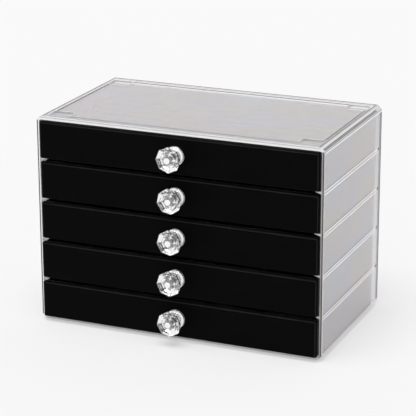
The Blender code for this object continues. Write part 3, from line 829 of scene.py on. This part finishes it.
def satin_styrene():
    """Black polystyrene with a fine moulded grain and faint flow marks."""
    material, tree = new_finish("satin_styrene", {"IOR": 1.8})
    flow = mottle(tree, 14.0, 3.0, 1.5)
    grain = mottle(tree, 900.0, 2.0)
    tune(tree, {
        "Base Color": tinted(tree, flow, (0.35, (0.0035, 0.0035, 0.0038)), (0.70, (0.0070, 0.0068, 0.0066))),
        "Roughness": graded(tree, flow, 0.12, 0.28),
        "Normal": bumped(tree, grain, 0.06, 0.0002),
    })
    return material


flock = velvet("tray_flock", (0.0050, 0.0048, 0.0047), 0.08, 3200.0)
low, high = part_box("tray_1")
tray = tray_mesh(high - low, front_place(1).z - low.z)
for number in range(1, 6):
    low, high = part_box(f"tray_{number}")
    piece = put(f"flocked_tray_{number}", tray, f"drawer_{number}", [f"tray_{number}"],
                (0.0, low.y, low.z))
    keep_flats_flat(piece)

# Floor pads
# A sheet of thin foam under black velvet lies on each tray's floor. It swells a little inside each
# compartment and the insert's walls, or the ring rolls, press it down between them.
PAD_CORNER = 2.0 * MM
PAD_SKIRT = 0.7 * MM
PAD_RISE = 0.3 * MM
PAD_DENT = 0.35 * MM
PAD_GRID = 2.6 * MM
PAD_WAVE = 0.12 * MM
PAD_WAVE_RATE = 55.0


def swell(position, start, end, cells):
    """How far a place stands out of the creases between equal cells, from 0 on a crease to 1."""
    share = (position - start) / (end - start) * cells % 1.0
    return min(1.0, math.sin(math.pi * share) * 1.6)


def pad_mesh(size, columns, rows):
    """Pad about the middle of its underside: a grid on top, with a soft skirt down to a flat sole."""
    across = max(8, round(size.x / PAD_GRID))
    along = max(8, round(size.y / PAD_GRID))
    half_x, half_y = size.x / 2, size.y / 2
    work = bmesh.new()
    top = []
    for i in range(across + 1):
        row = []
        for j in range(along + 1):
            x, y = size.x * i / across - half_x, size.y * j / along - half_y
            crown = swell(x, -half_x, half_x, columns) * swell(y, -half_y, half_y, rows)
            edge = min(half_x - abs(x), half_y - abs(y))
            drop = PAD_SKIRT * max(0.0, 1.0 - edge / (2 * PAD_SKIRT)) ** 2
            wave = noise.noise(Vector((x, y, 0.0)) * PAD_WAVE_RATE) * PAD_WAVE
            up = size.z - PAD_DENT * (1 - crown) + PAD_RISE * crown - drop + wave * crown
            row.append(work.verts.new((x, y, up)))
        top.append(row)
    for i in range(across):
        for j in range(along):
            work.faces.new((top[i][j], top[i + 1][j], top[i + 1][j + 1], top[i][j + 1]))
    border = [edge for edge in work.edges if edge.is_boundary]
    for corner in (top[0][0], top[-1][0], top[-1][-1], top[0][-1]):
        corner.co.x -= math.copysign(PAD_CORNER * 0.4, corner.co.x)
        corner.co.y -= math.copysign(PAD_CORNER * 0.4, corner.co.y)
    skirt = bmesh.ops.extrude_edge_only(work, edges=border)["geom"]
    for item in skirt:
        if isinstance(item, bmesh.types.BMVert):
            item.co.z = 0.0
    sole = [edge for edge in work.edges if edge.is_boundary]
    bmesh.ops.edgeloop_fill(work, edges=sole)
    return softened(mesh_from(work, "floor_pad"), 50)


def size_and_foot(name):
    """Size of a solid and the middle of its underside."""
    low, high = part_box(name)
    return high - low, Vector((0.0, (low.y + high.y) / 2, low.z))


CELLS = ((3, 1), (5, 1), (3, 2), (5, 2), (1, 8))
pad_velvet = velvet("pad_velvet", (0.0062, 0.0059, 0.0057), 0.08, 2600.0)
for number, (columns, rows) in enumerate(CELLS, 1):
    size, at = size_and_foot(f"liner_{number}")
    pad = put(f"floor_pad_{number}", dressed(pad_mesh(size, columns, rows), pad_velvet),
              f"drawer_{number}", [f"liner_{number}"], at)

# Compartment inserts
# Card walls wrapped in black velvet and slotted together, the velvet drawn over their upper edges, with a
# notch in the front wall that clears the screw.
INSERT_WALL = 2.0 * MM
INSERT_CORNER = 1.4 * MM
INSERT_FOLD = 0.85 * MM
NOTCH_HALF = 4.1 * MM
NOTCH_DEPTH = 2.5 * MM


def wall_lines(length, cells):
    pitch = (length - INSERT_WALL) / cells
    return [n * pitch + side - length / 2 for n in range(cells + 1) for side in (0.0, INSERT_WALL)]


def insert_mesh(size, columns, rows, screw_height):
    """Lattice about the middle of its foot, its upper edges rolled over."""
    across, along = wall_lines(size.x, columns), wall_lines(size.y, rows)
    work = bmesh.new()
    grid = [[work.verts.new((x, y, 0.0)) for y in along] for x in across]
    for i in range(len(across) - 1):
        for j in range(len(along) - 1):
            if i % 2 == 0 or j % 2 == 0:
                work.faces.new((grid[i][j], grid[i + 1][j], grid[i + 1][j + 1], grid[i][j + 1]))
    raised = bmesh.ops.extrude_face_region(work, geom=list(work.faces))["geom"]
    tops = [item for item in raised if isinstance(item, bmesh.types.BMVert)]
    bmesh.ops.translate(work, verts=tops, vec=(0.0, 0.0, size.z))
    bmesh.ops.recalc_face_normals(work, faces=work.faces)
    corners = []
    for edge in work.edges:
        foot, head = (v.co for v in edge.verts)
        at_a_corner = abs(abs(foot.x) - size.x / 2) < 1e-6 and abs(abs(foot.y) - size.y / 2) < 1e-6
        if at_a_corner and abs(foot.z - head.z) > 0.5 * size.z:
            corners.append(edge)
    bmesh.ops.bevel(work, geom=corners, offset=INSERT_CORNER, segments=4, profile=0.5, affect="EDGES")
    rims = []
    for edge in work.edges:
        on_top = min(v.co.z for v in edge.verts) > size.z - 1e-6 and len(edge.link_faces) == 2
        if on_top and edge.calc_face_angle(0.0) > math.radians(60):
            rims.append(edge)
    bmesh.ops.bevel(work, geom=rims, offset=INSERT_FOLD, segments=3, profile=0.5, affect="EDGES")
    data = mesh_from(work, "insert")
    low = (-NOTCH_HALF, -size.y / 2 - CUT_OVERRUN, screw_height - NOTCH_HALF)
    high = (NOTCH_HALF, NOTCH_DEPTH - size.y / 2, size.z + CUT_OVERRUN)
    return softened(carved(data, (mesh_of("notch", box_rings(low, high)), "DIFFERENCE")), 50)


insert_velvet = velvet("insert_velvet", (0.0056, 0.0053, 0.0052), 0.10, 2600.0)
for number, (columns, rows) in enumerate(CELLS[:4], 1):
    size, at = size_and_foot(f"insert_{number}")
    low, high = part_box(f"screw_{number}")
    insert = insert_mesh(size, columns, rows, (low.z + high.z) / 2 - at.z)
    put(f"velvet_insert_{number}", dressed(insert, insert_velvet),
        f"drawer_{number}", [f"insert_{number}"], at)

# Ring rolls
# Bars of soft foam wrapped in black velvet that fill the top drawer side by side, so that rings stand in
# the slits between them. The velvet is gathered over each end and sewn.
ROLL_STATIONS = 40
ROLL_POINTS = 26
ROLL_END = 2.2 * MM
ROLL_FULLEST = 0.42
ROLL_LUMP = 0.22 * MM
ROLL_TUCK = 0.35 * MM
ROLL_TUCKS = 9


def roll_mesh(size, seed):
    """Bar along X about the middle of its foot: flat sole, round crown, ends drawn in, slightly uneven."""
    rings = []
    middle = size.z * ROLL_FULLEST
    for station in range(ROLL_STATIONS + 1):
        angle = math.pi * station / ROLL_STATIONS
        x = -size.x / 2 * math.cos(angle)
        left = size.x / 2 - abs(x)
        pull = max(0.0, 1.0 - left / ROLL_END)
        inset = ROLL_END * (1 - math.sqrt(max(0.0, 1 - pull * pull))) * 0.8
        ring = []
        for n in range(ROLL_POINTS):
            turn = 2 * math.pi * n / ROLL_POINTS
            u, v = math.cos(turn), math.sin(turn)
            power = 0.42 if v < 0 else 0.80
            reach = middle if v < 0 else size.z - middle - inset
            y = math.copysign(abs(u) ** power, u) * (size.y / 2 - inset)
            up = middle + math.copysign(abs(v) ** power, v) * reach
            lump = noise.noise(Vector((x * 60.0, seed * 7.3, turn))) * ROLL_LUMP
            tuck = ROLL_TUCK * pull * math.cos(ROLL_TUCKS * turn)
            ring.append((x, y - lump * u * 0.5, up - abs(lump) * max(0.0, v) - tuck * max(0.0, v)))
        rings.append(ring)
    return softened(mesh_of("ring_roll", rings), 60)


roll_velvet = velvet("roll_velvet", (0.0066, 0.0062, 0.0060), 0.12, 2600.0)
for number in range(1, 9):
    size, at = size_and_foot(f"ring_roll_{number}")
    roll = put(f"ring_bar_{number}", dressed(roll_mesh(size, number), roll_velvet),
               "drawer_5", [f"ring_roll_{number}"], at)

# Knobs
# Moulded clear acrylic, polished: a turned base in two steps and a waisted neck under a brilliant cut head
# of eight sides, with a ring groove and a raised button in its table. Its back facets are silvered, and a
# silvered disc backs the base.
# The groove, the button's rim and lines along the back facets are painted dark as painted shade, and the
# bore, base and button are painted white as painted highlight.
KNOB_GAP = 0.3 * MM
KNOB_LENGTH = 15.4 * MM
KNOB_BASE_RADIUS = 7.5 * MM
KNOB_BASE_THICKNESS = 3.4 * MM
KNOB_STEP = 1.0 * MM
KNOB_NECK_RADIUS = 3.9 * MM
KNOB_NECK_FLARE = 0.7 * MM
KNOB_HEAD_RADIUS = 9.9 * MM
KNOB_HEAD_START = 6.0 * MM
KNOB_GIRDLE_START = 11.6 * MM
KNOB_GIRDLE_END = 13.0 * MM
KNOB_CROWN_RADIUS = 6.4 * MM
KNOB_TABLE_START = 14.6 * MM
KNOB_BUTTON_RADIUS = 2.7 * MM
KNOB_BUTTON_GROOVE = 1.2 * MM
KNOB_GROOVE_SINK = 0.7 * MM
KNOB_TURNS = (8, 5, 7, 11, 1)
FACET_LINE = 0.32 * MM
HEAD_SIDES = 8
TURNED_SIDES = 48
SCREW_REACH = 7.5 * MM
KNOB_EASE = 0.3 * MM
FOIL_REAR = 0.1 * MM
FOIL_FRONT = 0.2 * MM
LINE_AREA = 5 * MM * MM


def turned(profile, sides=TURNED_SIDES):
    """Rings of a turned shape that stands forward of a drawer, from pairs of reach and radius."""
    return [upright(round_outline(radius, sides), -reach) for reach, radius in profile]


def cut_facets(work, reach, radius, outer_reach, outer_radius, half_turn):
    """Grinds eight flats, each through two places given as reach and radius from the axis."""
    for n in range(HEAD_SIDES):
        angle = (n + 0.5 * half_turn) * 2 * math.pi / HEAD_SIDES
        across = Vector((math.sin(angle), 0.0, math.cos(angle)))
        slope = Vector((0.0, -(outer_reach - reach), 0.0)) + across * (outer_radius - radius)
        edge = across.cross(Vector((0.0, 1.0, 0.0)))
        normal = slope.cross(edge).normalized()
        if normal.dot(across) < 0:
            normal.negate()
        point = across * radius + Vector((0.0, -reach, 0.0))
        found = bmesh.ops.bisect_plane(work, geom=[*work.verts, *work.edges, *work.faces],
                                       plane_co=point, plane_no=normal, clear_outer=True)
        rim = [item for item in found["geom_cut"] if isinstance(item, bmesh.types.BMEdge)]
        bmesh.ops.edgeloop_fill(work, edges=rim)


def head_mesh():
    """Blank of eight sides with its back and crown cut to facets, and narrow bevels along the back facet
    edges.
    """
    apothem = KNOB_HEAD_RADIUS * math.cos(math.pi / HEAD_SIDES)
    neck = KNOB_NECK_RADIUS + KNOB_NECK_FLARE
    angles = [n * 2 * math.pi / HEAD_SIDES for n in range(HEAD_SIDES)]
    corners = [(KNOB_HEAD_RADIUS * math.sin(a), KNOB_HEAD_RADIUS * math.cos(a)) for a in angles]
    work = bmesh.new()
    skin(work, [upright(corners, -KNOB_HEAD_START), upright(corners, -KNOB_TABLE_START)])
    cut_facets(work, KNOB_GIRDLE_START, KNOB_HEAD_RADIUS, KNOB_HEAD_START, neck, 0)
    cut_facets(work, KNOB_GIRDLE_START, apothem, KNOB_HEAD_START + KNOB_STEP, neck, 1)
    cut_facets(work, KNOB_GIRDLE_END, KNOB_HEAD_RADIUS, KNOB_TABLE_START, KNOB_CROWN_RADIUS, 0)
    cut_facets(work, KNOB_GIRDLE_END, apothem, KNOB_TABLE_START, KNOB_CROWN_RADIUS + 0.2 * MM, 1)
    bmesh.ops.recalc_face_normals(work, faces=work.faces)
    # The narrow bevels carry facet lines that are painted dark as painted shade.
    lines = []
    for edge in work.edges:
        rear = max(-v.co.y for v in edge.verts) < KNOB_GIRDLE_END - 0.01 * MM
        if rear and len(edge.link_faces) == 2 and edge.calc_face_angle(0.0) > math.radians(6):
            lines.append(edge)
    bmesh.ops.bevel(work, geom=lines, offset=FACET_LINE, segments=1, affect="EDGES")
    return mesh_from(work, "knob_head")


def arc_profile(centre, radius, start, end, steps, scale=1.0):
    """Pairs of reach and radius along an arc, its angles in degrees from straight ahead."""
    places = []
    for step in range(steps + 1):
        angle = math.radians(start + (end - start) * step / steps)
        places.append((centre[0] + radius * math.cos(angle) * scale, centre[1] + radius * math.sin(angle)))
    return places


def knob_mesh():
    ease = KNOB_EASE
    base, step, half = KNOB_BASE_RADIUS, KNOB_STEP, KNOB_BASE_THICKNESS / 2
    profile = [(0.0, base - ease)]
    profile += arc_profile((ease, base - ease), ease, 135, 90, 2)
    profile += arc_profile((half - ease, base - ease), ease, 90, 0, 4)
    profile += [(half, base - step)]
    profile += arc_profile((KNOB_BASE_THICKNESS - ease, base - step - ease), ease, 90, 0, 4)
    foot = KNOB_NECK_RADIUS + step
    profile += [(KNOB_BASE_THICKNESS, foot + ease)]
    waist = (KNOB_BASE_THICKNESS + KNOB_HEAD_START) / 2
    reach = waist - KNOB_BASE_THICKNESS
    for n in range(9):
        angle = math.pi * (n / 8)
        profile.append((waist - reach * math.cos(angle), foot - step * math.sin(angle)))
    profile += [(KNOB_GIRDLE_START, KNOB_NECK_RADIUS)]
    groove = KNOB_BUTTON_RADIUS + KNOB_BUTTON_GROOVE
    trench = [(KNOB_TABLE_START + CUT_OVERRUN, groove), (KNOB_TABLE_START, groove)]
    bend = KNOB_BUTTON_GROOVE / 2
    trench += arc_profile((KNOB_TABLE_START, groove - bend), bend, 110, 180, 4, KNOB_GROOVE_SINK / bend)
    floor = KNOB_TABLE_START - KNOB_GROOVE_SINK
    trench += [(floor, 0.4 * MM)]
    dome = [(floor - ease, KNOB_BUTTON_RADIUS), (KNOB_TABLE_START, KNOB_BUTTON_RADIUS)]
    rise = KNOB_LENGTH - KNOB_TABLE_START
    for n in range(1, 6):
        angle = math.pi / 2 * n / 6
        dome.append((KNOB_TABLE_START + rise * math.sin(angle), KNOB_BUTTON_RADIUS * math.cos(angle)))
    dome.append((KNOB_LENGTH, 0.15 * MM))
    bore = mesh_of("bore", turned([(-CUT_OVERRUN, SCREW_HOLE), (SCREW_REACH + KNOB_GAP, SCREW_HOLE)], 32))
    return carved(
        mesh_of("cut_knob", turned(profile)),
        (head_mesh(), "UNION"),
        (mesh_of("trench", turned(trench)), "DIFFERENCE"),
        (mesh_of("button", turned(dome)), "UNION"),
        (bore, "DIFFERENCE"),
    )


def name_facets(data):
    """Finishes: 0 clear, 1 silvered back facets, 2 groove, button rim and facet lines painted dark as painted
    shade, 3 bore, base and button painted white as painted highlight.
    """
    for face in data.polygons:
        reach = -face.center.y
        radius = math.hypot(face.center.x, face.center.z)
        corners = [data.vertices[n].co for n in face.vertices]
        spread = max(math.hypot(c.x, c.z) for c in corners)
        groove = KNOB_BUTTON_RADIUS - SLACK < radius < KNOB_BUTTON_RADIUS + 0.5 * KNOB_BUTTON_GROOVE
        if reach < SCREW_REACH + MM and radius < SCREW_HOLE + SLACK:
            face.material_index = 3
        elif KNOB_HEAD_START - SLACK < reach < KNOB_GIRDLE_START + FACET_LINE and face.area < LINE_AREA:
            face.material_index = 2 if radius > KNOB_NECK_RADIUS + FACET_LINE else 0
        elif face.normal.y > 0.2 and KNOB_HEAD_START < reach < KNOB_GIRDLE_START + 0.5 * MM:
            if radius > KNOB_NECK_RADIUS * 0.9:
                face.material_index = 1
        elif KNOB_GIRDLE_END < reach < KNOB_TABLE_START - SLACK / 2 and groove:
            face.material_index = 2
        elif reach > KNOB_TABLE_START - SLACK / 2 and spread < KNOB_BUTTON_RADIUS + SLACK:
            face.material_index = 3 if spread < 0.88 * KNOB_BUTTON_RADIUS else 2
        elif reach < KNOB_BASE_THICKNESS + SLACK and radius > KNOB_NECK_RADIUS:
            face.material_index = 3


def clear_acrylic(name, through, colour, silvering=0.0):
    """Polished acrylic, here and there slightly dulled by handling."""
    material, tree = new_finish(name, {
        "Base Color": (*colour, 1.0),
        "Transmission Weight": through,
        "IOR": 1.49,
        "Metallic": silvering,
    })
    rub = mottle(tree, 260.0, 5.0)
    tune(tree, {"Roughness": graded(tree, rub, 0.0, 0.03)})
    return material


acrylic = clear_acrylic("clear_acrylic", 1.0, WHITE)
silver = {"Base Color": (0.98, 0.98, 0.98, 1.0), "Metallic": 1.0, "Roughness": 0.03}
foil = new_finish("silver_foil", silver)[0]
# A grey copy of the acrylic, painted dark as the shade seen through the groove and facet lines.
painted_dark_acrylic = clear_acrylic("painted_shade_acrylic", 0.6, (0.55, 0.54, 0.54))
# A white, mostly mirrored copy of the acrylic for the bore, base and button: painted highlight, brighter than
# clear acrylic.
button = clear_acrylic("painted_bright_acrylic", 0.15, WHITE, 0.85)
knob = dressed(knob_mesh(), acrylic, foil, painted_dark_acrylic, button)
name_facets(knob)
knob = softened(knob, 16)
disc_steps = [(FOIL_REAR, KNOB_BASE_RADIUS), (FOIL_FRONT, KNOB_BASE_RADIUS)]
disc = dressed(mesh_of("knob_foil", turned(disc_steps)), foil)
for number in range(1, 6):
    at = front_place(number)
    turn = -math.radians(KNOB_TURNS[number - 1])
    piece = put(f"cut_knob_{number}", knob, f"drawer_{number}", [f"knob_{number}"],
                at - Vector((0.0, KNOB_GAP, 0.0)), turn)
    keep_flats_flat(piece)
    put(f"knob_foil_{number}", disc, f"drawer_{number}", (), at)

# Knob screws
# A pan head machine screw in zinc plated steel for each knob, its cross recess on the inside of the tray
# and its thread run through the velvet board into the knob.
THREAD_CREST = 1.7 * MM
THREAD_ROOT = 1.32 * MM
THREAD_PITCH = 0.7 * MM
THREAD_STEPS = 5
THREAD_SIDES = 20
SCREW_HEAD = 3.5 * MM
SCREW_HEAD_HEIGHT = 2.2 * MM
CROSS_LENGTH = 4.0 * MM
CROSS_WIDTH = 0.9 * MM
CROSS_SINK = 1.2 * MM


def thread_ring(y, tip):
    """One ring of the thread: its ridge climbs by one pitch in each turn and fades out at the point."""
    ring = []
    for n in range(THREAD_SIDES):
        turn = n / THREAD_SIDES
        share = ((y - tip) / THREAD_PITCH - turn) % 1.0
        ridge = max(0.0, 1.0 - abs(2 * share - 1) * 1.25)
        fade = min(1.0, (y - tip) / (2 * THREAD_PITCH))
        radius = THREAD_ROOT * (0.72 + 0.28 * fade) + (THREAD_CREST - THREAD_ROOT) * ridge * fade
        angle = 2 * math.pi * turn
        ring.append((radius * math.cos(angle), y, radius * math.sin(angle)))
    return ring


def screw_mesh(tip, end):
    head_start = end - SCREW_HEAD_HEIGHT
    steps = round((head_start - tip) / THREAD_PITCH * THREAD_STEPS)
    rings = [thread_ring(tip + (head_start - tip) * n / steps, tip) for n in range(steps + 1)]
    profile = [(0.0, SCREW_HEAD - 0.2 * MM), (0.2 * MM, SCREW_HEAD), (0.7 * MM, SCREW_HEAD)]
    for step in range(1, 7):
        angle = math.pi / 2 * step / 6 * 0.9
        rise = (SCREW_HEAD_HEIGHT - 0.7 * MM) * math.sin(angle) / math.sin(math.pi / 2 * 0.9)
        profile.append((0.7 * MM + rise, 1.2 * MM + (SCREW_HEAD - 1.2 * MM) * math.cos(angle)))
    for depth, radius in profile:
        rings.append(upright(round_outline(radius, THREAD_SIDES), head_start + depth))
    blades = []
    for turned_up in (False, True):
        blade = []
        for depth, share in ((CROSS_SINK, 0.5), (0.0, 1.0), (-CUT_OVERRUN, 1.0)):
            long, short = CROSS_LENGTH / 2 * share, CROSS_WIDTH / 2 * (0.6 + 0.4 * share)
            u, v = (short, long) if turned_up else (long, short)
            blade.append(upright([(-u, -v), (u, -v), (u, v), (-u, v)], end - depth))
        blades.append((mesh_of("cross", blade), "DIFFERENCE"))
    return softened(carved(mesh_of("knob_screw", rings), *blades), 35)


def zinc_plate():
    """Bright zinc with small dull spots."""
    material, tree = new_finish("zinc_plate", {"Metallic": 1.0})
    spots = mottle(tree, 700.0, 4.0)
    tune(tree, {
        "Base Color": tinted(tree, spots, (0.0, (0.55, 0.56, 0.58)), (1.0, (0.82, 0.81, 0.78))),
        "Roughness": graded(tree, spots, 0.16, 0.36),
    })
    return material


low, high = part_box("screw_1")
face_depth = front_place(1).y
screw = dressed(screw_mesh(low.y - face_depth, high.y - face_depth), zinc_plate())
for number in range(1, 6):
    put(f"knob_screw_{number}", screw, f"drawer_{number}", [f"screw_{number}"],
        front_place(number))

bpy.context.view_layer.update()
